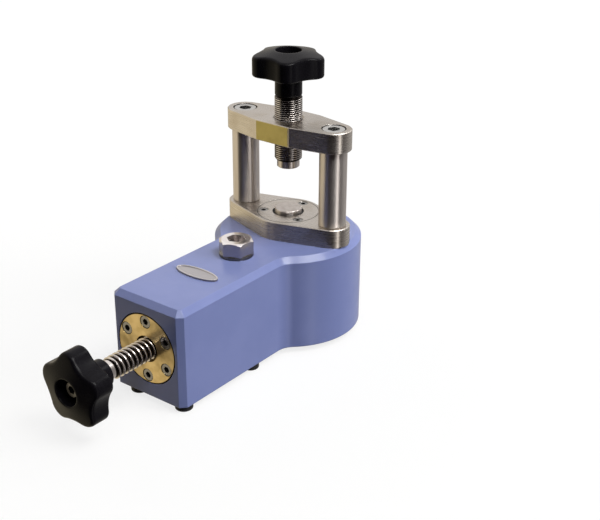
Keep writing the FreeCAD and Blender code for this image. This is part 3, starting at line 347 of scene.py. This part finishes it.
def black_rubber(tree):
    grain = noise(tree, 1700, detail=4)
    dust = noise(tree, 120, detail=5, seed=3)
    colour = mix_colours(tree, rescale(tree, dust, 0.4, 0.75, 0, 0.6),
                         (0.012, 0.012, 0.013, 1), (0.05, 0.05, 0.055, 1))
    return {"Base Color": colour, "Roughness": rescale(tree, grain, 0.3, 0.7, 0.62, 0.8),
            "Normal": bump(tree, grain, 0.3, 0.08 * MM, rounded_normal(tree, 0.4 * MM))}


def dark_steel(tree):
    """Black-oxide steel of the spring, the knobs' bushes and the grub screw."""
    mottle = noise(tree, 500, detail=4)
    normal = rounded_normal(tree, 0.2 * MM)
    colour = mix_colours(tree, mottle, (0.035, 0.034, 0.036, 1), (0.10, 0.098, 0.10, 1))
    worn = calc(tree, "MULTIPLY", edge_share(tree, normal), 0.5)
    colour = mix_colours(tree, worn, colour, (0.35, 0.34, 0.33, 1))
    return {"Base Color": colour, "Metallic": 0.9, "Roughness": rescale(tree, mottle, 0.3, 0.7, 0.3, 0.45),
            "Normal": normal}


def label_film(tree):
    """Blank yellow-green film with a fine grain, slightly soiled in patches."""
    fibre = noise(tree, 1900, detail=4)
    soil = noise(tree, 130, detail=4, seed=4)
    colour = mix_colours(tree, rescale(tree, soil, 0.35, 0.75),
                         (0.72, 0.61, 0.23, 1), (0.62, 0.52, 0.19, 1))
    return {"Base Color": colour, "Metallic": 0.85, "Roughness": rescale(tree, fibre, 0.3, 0.7, 0.36, 0.46),
            "Normal": bump(tree, fibre, 0.12, 0.03 * MM, rounded_normal(tree, 0.1 * MM))}


def badge_metal(tree):
    """A blank oval plate: polished raised border, satin field."""
    height = node(tree, "ShaderNodeSeparateXYZ", {0: local_place(tree)}).outputs["Z"]
    border = rescale(tree, height, BADGE_HIGH.z - 0.35 * MM, BADGE_HIGH.z - 0.1 * MM)
    lines = noise(tree, 1, (90, 3000, 60), detail=4)
    field = mix_colours(tree, lines, (0.42, 0.40, 0.42, 1), (0.58, 0.56, 0.58, 1))
    colour = mix_colours(tree, border, field, (0.60, 0.58, 0.59, 1))
    rough = rescale(tree, border, 0, 1, 0.38, 0.22)
    return {"Base Color": colour, "Metallic": 1.0, "Roughness": rough,
            "Normal": bump(tree, lines, 0.12, 0.02 * MM, rounded_normal(tree, 0.2 * MM))}


PLATE_STEEL = (0.70, 0.65, 0.60, 1)

MATERIALS = {
    "blue_paint": shade("satin_blue_paint", paint),
    "brushed_plate": shade("brushed_plate_steel", brushed(PLATE_STEEL, 0.20, 0.28)),
    "polished_steel": shade("ground_round_steel", ground_round((0.68, 0.63, 0.60, 1), 0.28, 0.36)),
    "screw_steel": shade("bright_screw_steel", fastener((0.60, 0.60, 0.60, 1), 0.22, 3 * MM)),
    "dark_steel": shade("black_oxide_steel", dark_steel),
    "chrome_plate": shade("chrome_plating", chrome),
    "flange_brass": shade("satin_brass", brass),
    "bronze": shade("turned_bronze", bronze),
    "black_plastic": shade("moulded_black_plastic", black_plastic),
    "black_rubber": shade("black_rubber_compound", black_rubber),
    "label_film": shade("blank_label_film", label_film),
    "badge_metal": shade("blank_badge_metal", badge_metal),
}
LEAD_THREAD = shade("lead_screw_thread",
                    screw_thread(LEAD_CENTRE, (1, 1, 0), LEAD_ROOT, LEAD_RADIUS, (0.90, 1.0)))
GUIDE_RING = shade("guide_ring_steel", brushed(PLATE_STEEL, 0.20, 0.28, RING_RADIUS))
DULL_STEEL = shade("dull_screw_steel", fastener((0.34, 0.33, 0.32, 1), 0.24, 3 * MM))
KNOB_SCREW = shade("dull_knob_screw", fastener((0.17, 0.165, 0.16, 1), 0.30, 5 * MM))
DRIVE_THREAD = shade("drive_screw_thread",
                     screw_thread(SPINDLE_CENTRE, (1, 0, 1), SPINDLE_ROOT, SPINDLE_RADIUS, (0.3, 0.85),
                                  COLLAR_END))

# nodes whose finish differs from their material slot's
SPECIAL_FINISHES = {
    "lead_screw": LEAD_THREAD,
    "drive_spindle": DRIVE_THREAD,
    "ram_guide_ring": GUIDE_RING,
    "flange_screws": DULL_STEEL,
    "guide_ring_screws": DULL_STEEL,
    "plug_seal_washer": DULL_STEEL,
    "top_knob_screw": KNOB_SCREW,
    "front_knob_screw": KNOB_SCREW,
}


def dress_cad_nodes():
    """Gives every CAD node its special finish or that of its material slot."""
    for part in frame["record"]["subparts"]:
        finish = SPECIAL_FINISHES.get(part["node"]) or MATERIALS[part["material_slot"]]
        mesh = frame["nodes"][part["node"]].data
        mesh.materials.clear()
        mesh.materials.append(finish)


# ---- mesh helpers --------------------------------------------------------------------------------

def add_piece(name, bm, material, crease_degrees=35):
    """A finished mesh object, smooth except where its faces meet at more than the crease angle."""
    bmesh.ops.remove_doubles(bm, verts=bm.verts, dist=0.002 * MM)
    bmesh.ops.recalc_face_normals(bm, faces=bm.faces)
    for face in bm.faces:
        face.smooth = True
    for edge in bm.edges:
        edge.smooth = edge.calc_face_angle(0.0) < math.radians(crease_degrees)
    mesh = bpy.data.meshes.new(name)
    bm.to_mesh(mesh)
    bm.free()
    mesh.materials.append(material)
    piece = bpy.data.objects.new(name, mesh)
    bpy.context.scene.collection.objects.link(piece)
    return piece


def skin_columns(bm, columns, seam_shift=0, fixed_before=0, fixed_after=0):
    """Faces between neighbouring columns of points, closed round the axis. On the seam the rows
    between the fixed ones are shifted, as a thread's are after one turn."""
    vertices = [[bm.verts.new(point) for point in column] for column in columns]
    rows = len(columns[0])

    def partner(row):
        if fixed_before <= row < rows - fixed_after:
            return min(row + seam_shift, rows - fixed_after - 1)
        return row

    for number, column in enumerate(vertices):
        on_seam = number == len(vertices) - 1
        following = vertices[0] if on_seam else vertices[number + 1]
        for row in range(rows - 1):
            low, high = (partner(row), partner(row + 1)) if on_seam else (row, row + 1)
            corners = [column[row], column[row + 1]]
            if high != low:
                corners += [following[high], following[low]]
            else:
                corners += [following[low]]
            bm.faces.new(corners)
    return vertices


def close_end(bm, vertices, row):
    bm.faces.new([column[row] for column in vertices])


def turned(rows, angle, placing):
    """The points of (radius, height) rows at an angle round the local Z axis."""
    return [placing @ Vector((r * math.cos(angle), r * math.sin(angle), h)) for r, h in rows]


def bend(start, corner, end, steps):
    """Points of a smooth curve from start to end that heads for the corner."""
    points = []
    for number in range(steps + 1):
        t = number / steps
        points.append(tuple((1 - t) ** 2 * a + 2 * t * (1 - t) * b + t * t * c
                            for a, b, c in zip(start, corner, end)))
    return points


# ---- threaded screws -----------------------------------------------------------------------------

SCREW_COLUMNS = 96


def threaded_rod(name, before, after, start, end, pitch, profile, end_radius, placing, material):
    """A right-hand screw along local Z. before and after are plain (radius, height) rows; the thread's
    profile is (share of the pitch, radius) rows between start and end, where it fades to end_radius."""
    turns = math.ceil((end - start) / pitch) + 2
    columns = []
    for number in range(SCREW_COLUMNS):
        turn = number / SCREW_COLUMNS
        rows = list(before)
        for lap in range(turns):
            for share, radius in profile:
                height = start + (lap + share + turn - 1) * pitch
                if height <= start:
                    rows.append((end_radius, start))
                elif height >= end:
                    rows.append((end_radius, end))
                else:
                    room = min(height - start, end - height)
                    rows.append((min(radius, end_radius + room), height))
        columns.append(turned(rows + after, 2 * math.pi * turn, placing))
    bm = bmesh.new()
    vertices = skin_columns(bm, columns, len(profile), len(before), len(after))
    close_end(bm, vertices, 0)
    close_end(bm, vertices, -1)
    return add_piece(name, bm, material, 30)


def build_lead_screw():
    """M20 x 1.5 thread, bored for the pad's stem, with a plain spigot for the knob."""
    pitch = 1.5 * MM
    spigot_radius = 5 * MM
    length = LEAD_HIGH.z - LEAD_LOW.z - SPIGOT_LENGTH
    bore_radius, bore_depth = 4.05 * MM, 9 * MM
    crest, root = LEAD_RADIUS, LEAD_ROOT
    end_radius = crest - 1.3 * MM
    profile = [(0.0, root), (0.17, root), (0.27, root + 0.25 * MM), (0.40, crest - 0.07 * MM),
               (0.45, crest), (0.72, crest), (0.80, crest - 0.10 * MM), (0.91, root + 0.25 * MM)]
    placing = Matrix.Translation((0, RAM_AXIS_Y, LEAD_LOW.z))
    piece = threaded_rod("lead_screw_threaded", [(bore_radius, bore_depth), (bore_radius, 0.0)],
                         [(spigot_radius, length), (spigot_radius, length + SPIGOT_LENGTH)],
                         0.0, length, pitch, profile, end_radius, placing, LEAD_THREAD)
    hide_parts("lead_screw")
    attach(piece, "lead_screw")


def build_drive_spindle():
    """Tr 16 x 4 screw with a smooth collar by the knob and a ball pocket in its nose."""
    pitch = 4 * MM
    spigot_radius = 5 * MM
    nose_length, nose_radius = 3.5 * MM, 6 * MM
    collar_radius = 6.7 * MM
    pocket_radius, pocket_depth = 4.02 * MM, 3.02 * MM
    crest, root = SPINDLE_RADIUS, SPINDLE_ROOT
    length = SPINDLE_HIGH.y - SPINDLE_LOW.y - SPIGOT_LENGTH - nose_length
    tip = length + nose_length
    profile = [(0.0, root), (0.46, root), (0.50, root + 0.2 * MM), (0.57, crest - 0.45 * MM),
               (0.62, crest - 0.12 * MM), (0.68, crest), (0.80, crest), (0.86, crest - 0.12 * MM),
               (0.91, crest - 0.45 * MM), (0.97, root + 0.2 * MM)]
    before = [(spigot_radius, -SPIGOT_LENGTH), (spigot_radius, 0.0), (collar_radius - 0.5 * MM, 0.0),
              (collar_radius, 0.5 * MM), (collar_radius, COLLAR_LENGTH)]
    after = [(nose_radius, length), (nose_radius, tip), (pocket_radius, tip),
             (pocket_radius, tip - pocket_depth)]
    inward = Matrix.Rotation(math.radians(-90), 4, "X")
    placing = Matrix.Translation((0, SPINDLE_LOW.y + SPIGOT_LENGTH, DRIVE_HEIGHT)) @ inward
    piece = threaded_rod("drive_spindle_threaded", before, after, COLLAR_LENGTH, length, pitch, profile,
                         root, placing, DRIVE_THREAD)
    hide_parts("drive_spindle")
    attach(piece, "spindle")


# ---- star knobs ----------------------------------------------------------------------------------

KNOB_COLUMNS = 200
LOBES = 5
TIP_RADIUS = 8.3 * MM
TIP_REACH = 26.2 * MM
VALLEY_REACH = 21.1 * MM
HUB_RADIUS = 9.8 * MM
HUB_LENGTH = 14.5 * MM
KNOB_LENGTH = 32.0 * MM
BUSH_RADIUS = 7.4 * MM
RECESS_RADIUS = 9.2 * MM
RECESS_DEPTH = 12.0 * MM
CROWN_RADIUS = 11.0 * MM
RIM_HEIGHT = 13.8 * MM
UNDER_ROUND = 1.8 * MM
RIM_ROUND = 2.6 * MM
# degrees from each knob's local X axis to a lobe, as it is turned at rest
TOP_KNOB_TURN = 16.5
FRONT_KNOB_TURN = 21.0


def star_outline(angle):
    """Distance of the star's outline from the axis: round lobe tips joined by round valleys."""
    half = math.pi / LOBES
    tip_centre = TIP_REACH - TIP_RADIUS
    gain = 2 * (VALLEY_REACH - tip_centre * math.cos(half) - TIP_RADIUS)
    rest = TIP_RADIUS ** 2 - tip_centre ** 2 - VALLEY_REACH ** 2
    rest += 2 * tip_centre * VALLEY_REACH * math.cos(half)
    valley_radius = rest / gain
    valley_centre = VALLEY_REACH + valley_radius
    share = TIP_RADIUS / (TIP_RADIUS + valley_radius)
    joint_x = tip_centre + (valley_centre * math.cos(half) - tip_centre) * share
    joint_y = valley_centre * math.sin(half) * share
    from_tip = abs((angle + half) % (2 * half) - half)
    if from_tip <= math.atan2(joint_y, joint_x):
        return tip_centre * math.cos(from_tip) + math.sqrt(
            TIP_RADIUS ** 2 - (tip_centre * math.sin(from_tip)) ** 2)
    from_valley = half - from_tip
    return valley_centre * math.cos(from_valley) - math.sqrt(
        valley_radius ** 2 - (valley_centre * math.sin(from_valley)) ** 2)


def crown_height(radius):
    """The crown falls evenly from the recess to just outside the lobe tips."""
    fall = (KNOB_LENGTH - HUB_LENGTH - RIM_HEIGHT) / (TIP_REACH + MM - CROWN_RADIUS)
    return KNOB_LENGTH - (radius - CROWN_RADIUS) * fall


def knob_section(reach):
    """The knob's half section where its outline is at the given distance: (radius, height) rows."""
    floor = KNOB_LENGTH - RECESS_DEPTH
    lip = 1.0 * MM
    rows = [(BUSH_RADIUS, floor), (BUSH_RADIUS, 0.0)]
    rows += bend((HUB_RADIUS - MM, 0.0), (HUB_RADIUS, 0.0), (HUB_RADIUS, MM), 3)
    fillet = 1.5 * MM
    rows += bend((HUB_RADIUS, HUB_LENGTH - fillet), (HUB_RADIUS, HUB_LENGTH),
                 (HUB_RADIUS + fillet, HUB_LENGTH), 4)
    rows += bend((reach - UNDER_ROUND, HUB_LENGTH), (reach, HUB_LENGTH), (reach, HUB_LENGTH + UNDER_ROUND), 6)
    rim = crown_height(reach)
    inner = reach - RIM_ROUND
    rows += bend((reach, rim - RIM_ROUND), (reach, rim), (inner, crown_height(inner)), 9)
    outer_lip = RECESS_RADIUS + 1.8 * MM
    for number in range(1, 5):
        radius = inner + (outer_lip - inner) * number / 4
        rows.append((radius, crown_height(radius)))
    rows += bend((outer_lip, crown_height(outer_lip)), (RECESS_RADIUS, crown_height(RECESS_RADIUS)),
                 (RECESS_RADIUS, crown_height(RECESS_RADIUS) - lip), 5)[1:]
    rows.append((RECESS_RADIUS, floor))
    rows.append((BUSH_RADIUS, floor))
    return rows


def star_knob(name, node_name, body, placing, turn_degrees):
    """A moulded five-lobed knob; local Z runs from its hub's open end to its crown."""
    columns = []
    for number in range(KNOB_COLUMNS):
        angle = 2 * math.pi * number / KNOB_COLUMNS
        rows = knob_section(star_outline(angle - math.radians(turn_degrees)))
        columns.append(turned(rows, angle, placing))
    bm = bmesh.new()
    skin_columns(bm, columns)
    piece = add_piece(name, bm, MATERIALS["black_plastic"], 50)
    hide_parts(node_name)
    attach(piece, body)


def build_knobs():
    star_knob("top_knob_moulding", "top_knob", "lead_screw",
              Matrix.Translation((0, RAM_AXIS_Y, TOP_KNOB_LOW.z)), TOP_KNOB_TURN)
    outward = Matrix.Rotation(math.radians(90), 4, "X")
    star_knob("front_knob_moulding", "front_knob", "spindle",
              Matrix.Translation((0, FRONT_KNOB_HIGH.y, DRIVE_HEIGHT)) @ outward, FRONT_KNOB_TURN)


# ---- return spring -------------------------------------------------------------------------------

def build_return_spring():
    """The coil round the ram, built at one fixed length, though the real one shortens as the ram rises."""
    low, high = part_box("ram_return_spring")
    wire, turns, steps, sides = 1.1 * MM, 3.0, 48, 12
    reach = (high.x - low.x) / 2 - wire
    rise = high.z - low.z - 2 * wire
    bm = bmesh.new()
    loops = []
    for number in range(int(turns * steps) + 1):
        share = number / (turns * steps)
        angle = 2 * math.pi * turns * share
        out = Vector((math.cos(angle), math.sin(angle), 0))
        middle = Vector((0, RAM_AXIS_Y, low.z + wire + rise * share)) + reach * out
        loop = []
        for side in range(sides):
            around = 2 * math.pi * side / sides
            aside = out * math.cos(around) + Vector((0, 0, math.sin(around)))
            loop.append(bm.verts.new(middle + wire * aside))
        loops.append(loop)
    for first, second in zip(loops, loops[1:]):
        for side in range(sides):
            after = (side + 1) % sides
            bm.faces.new([first[side], first[after], second[after], second[side]])
    bm.faces.new(loops[0])
    bm.faces.new(loops[-1])
    piece = add_piece("return_spring_coil", bm, MATERIALS["dark_steel"], 60)
    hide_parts("ram_return_spring")
    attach(piece, "frame")
    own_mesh(piece)


# ---- stage: floor, surroundings, lights and camera -----------------------------------------------

FLOOR_HALF_WIDTH = 5.0
FLOOR_GLOW = 1.02


def build_floor():
    """A plain pale floor. Only the camera sees its full brightness, so it throws little light back up.
    It glows less close to the press, so that a faint shadow stays."""
    bm = bmesh.new()
    half = FLOOR_HALF_WIDTH
    corners = [(-half, -half), (half, -half), (half, half), (-half, half)]
    bm.faces.new([bm.verts.new((x, y, 0)) for x, y in corners])
    mesh = bpy.data.meshes.new("pale_floor")
    bm.to_mesh(mesh)
    bm.free()
    floor = bpy.data.objects.new("pale_floor", mesh)
    bpy.context.scene.collection.objects.link(floor)
    material = bpy.data.materials.new("pale_floor")
    material.use_nodes = True
    tree = material.node_tree
    tree.nodes.clear()
    seen = node(tree, "ShaderNodeLightPath").outputs["Is Camera Ray"]
    colour = mix_colours(tree, seen, (0.10, 0.10, 0.11, 1), (0.9, 0.9, 0.9, 1))
    matt = node(tree, "ShaderNodeBsdfDiffuse", {"Color": colour}).outputs[0]
    glow = node(tree, "ShaderNodeEmission", {"Color": (1, 1, 1, 1), "Strength": FLOOR_GLOW}).outputs[0]
    away = node(tree, "ShaderNodeVectorMath", {0: local_place(tree)}, operation="LENGTH").outputs["Value"]
    share = calc(tree, "MULTIPLY", seen, rescale(tree, away, 0.12, 0.5, 0.78, 1.0))
    mixed = node(tree, "ShaderNodeMixShader", {0: share, 1: matt, 2: glow}).outputs[0]
    node(tree, "ShaderNodeOutputMaterial", {"Surface": mixed})
    mesh.materials.append(material)
    floor.visible_glossy = False


def towards(bearing_degrees, height_degrees):
    """A direction from its compass bearing (0 is +X, 90 is +Y) and its height above the horizon."""
    bearing, height = math.radians(bearing_degrees), math.radians(height_degrees)
    return (math.cos(height) * math.cos(bearing), math.cos(height) * math.sin(bearing), math.sin(height))


BACK_OF_ROOM = towards(132, 0)
# bearing, height, reach and brightness of the lamps that shine in polished faces
SOFTBOXES = [(8, 58, 14, 13.0), (-20, 57, 9, 11.0), (-48, 66, 11, 6.0), (70, 41, 7, 7.0)]
CREAM = (0.80, 0.70, 0.50)
DARK = (0.018, 0.014, 0.015)
# bearing and colour of the room's walls, blended in between
WALLS = [
    (-180, CREAM), (-131, CREAM), (-117, DARK), (-44, DARK), (-25, (0.30, 0.28, 0.28)),
    (-14, (1.5, 1.45, 1.4)), (-5, (0.4, 0.38, 0.37)), (2, (0.09, 0.08, 0.08)), (22, (0.16, 0.15, 0.15)),
    (60, (0.40, 0.39, 0.38)), (110, (0.5, 0.48, 0.46)), (150, (0.66, 0.60, 0.48)), (180, CREAM),
]
CEILING = (1.0, 0.98, 0.97, 1)
# how much of the room's brightness falls on matt surfaces, which the lights light instead
DIFFUSE_SHARE = 0.085


def build_surroundings():
    """A soft studio room: light above, a cream wall on the left, dark in front, bright on the right."""
    world = bpy.data.worlds.new("studio_room")
    bpy.context.scene.world = world
    world.use_nodes = True
    tree = world.node_tree
    tree.nodes.clear()
    direction = node(tree, "ShaderNodeTexCoord").outputs["Generated"]
    parts = node(tree, "ShaderNodeSeparateXYZ", {0: direction})
    bearing = calc(tree, "ARCTAN2", parts.outputs["Y"], parts.outputs["X"])
    share = rescale(tree, bearing, -math.pi, math.pi, course="LINEAR")
    walls = node(tree, "ShaderNodeValToRGB", {0: share})
    elements = walls.color_ramp.elements
    while len(elements) < len(WALLS):
        elements.new(0.5)
    for element, (degrees, colour) in zip(elements, WALLS):
        element.position = (degrees + 180) / 360
        element.color = (*colour, 1)
    behind = node(tree, "ShaderNodeVectorMath", {0: direction, 1: BACK_OF_ROOM}, operation="DOT_PRODUCT")
    height = calc(tree, "ADD", parts.outputs["Z"], calc(tree, "MULTIPLY", behind.outputs["Value"], 0.35))
    room = mix_colours(tree, rescale(tree, height, 0.40, 0.85), walls.outputs["Color"], CEILING)
    for bearing_degrees, height_degrees, reach_degrees, brightness in SOFTBOXES:
        centre = towards(bearing_degrees, height_degrees)
        near = node(tree, "ShaderNodeVectorMath", {0: direction, 1: centre}, operation="DOT_PRODUCT")
        edge = math.cos(math.radians(reach_degrees))
        share = rescale(tree, near.outputs["Value"], edge, edge + (1 - edge) * 0.45)
        room = mix_colours(tree, share, room, (brightness, brightness, brightness * 0.98, 1))
    path = node(tree, "ShaderNodeLightPath")
    plain = mix_colours(tree, path.outputs["Is Camera Ray"], room, (1, 1, 1, 1))
    strength = rescale(tree, path.outputs["Is Diffuse Ray"], 0, 1, 1, DIFFUSE_SHARE, course="LINEAR")
    background = node(tree, "ShaderNodeBackground", {"Color": plain, "Strength": strength}).outputs[0]
    node(tree, "ShaderNodeOutputWorld", {"Surface": background})


def soft_light(name, place, target, size, power, colour=(1, 1, 1)):
    lamp = bpy.data.lights.new(name, "AREA")
    lamp.shape = "DISK"
    lamp.size = size
    lamp.energy = power
    lamp.color = colour
    light = bpy.data.objects.new(name, lamp)
    light.location = place
    light.rotation_euler = (Vector(target) - Vector(place)).to_track_quat("-Z", "Y").to_euler()
    light.visible_glossy = False
    bpy.context.scene.collection.objects.link(light)


def build_lights():
    middle = (0, 0, 0.06)
    soft_light("overhead_soft", (0.15, 0.40, 1.5), middle, 1.3, 3.0)
    soft_light("right_soft", (1.18, 0.60, 0.65), middle, 0.8, 10.2)
    soft_light("left_fill", (-1.2, 0.1, 0.7), middle, 0.9, 2.2, (1.0, 0.95, 0.85))


def build_camera():
    """A viewpoint at the press's front right that looks down by 25 degrees, through a long lens."""
    yaw, pitch, roll = (math.radians(angle) for angle in (37.171, 24.978, 0.458))
    ahead = Vector((-math.sin(yaw) * math.cos(pitch), math.cos(yaw) * math.cos(pitch), -math.sin(pitch)))
    right = Vector((math.cos(yaw), math.sin(yaw), 0))
    up = right.cross(ahead)
    tilted_right = math.cos(roll) * right + math.sin(roll) * up
    tilted_up = math.cos(roll) * up - math.sin(roll) * right
    data = bpy.data.cameras.new("studio_camera")
    data.sensor_width = 36
    data.lens = 68.76
    data.clip_start = 0.05
    camera = bpy.data.objects.new("studio_camera", data)
    place = Vector((481.23 * MM, RAM_AXIS_Y - 619.67 * MM, 415.15 * MM))
    turn = Matrix((tilted_right, tilted_up, -ahead)).transposed().to_4x4()
    camera.matrix_world = Matrix.Translation(place) @ turn
    bpy.context.scene.collection.objects.link(camera)
    bpy.context.scene.camera = camera


dress_cad_nodes()
build_lead_screw()
build_drive_spindle()
build_knobs()
build_return_spring()
build_floor()
build_surroundings()
build_lights()
build_camera()
bpy.context.scene.view_settings.view_transform = "Standard"
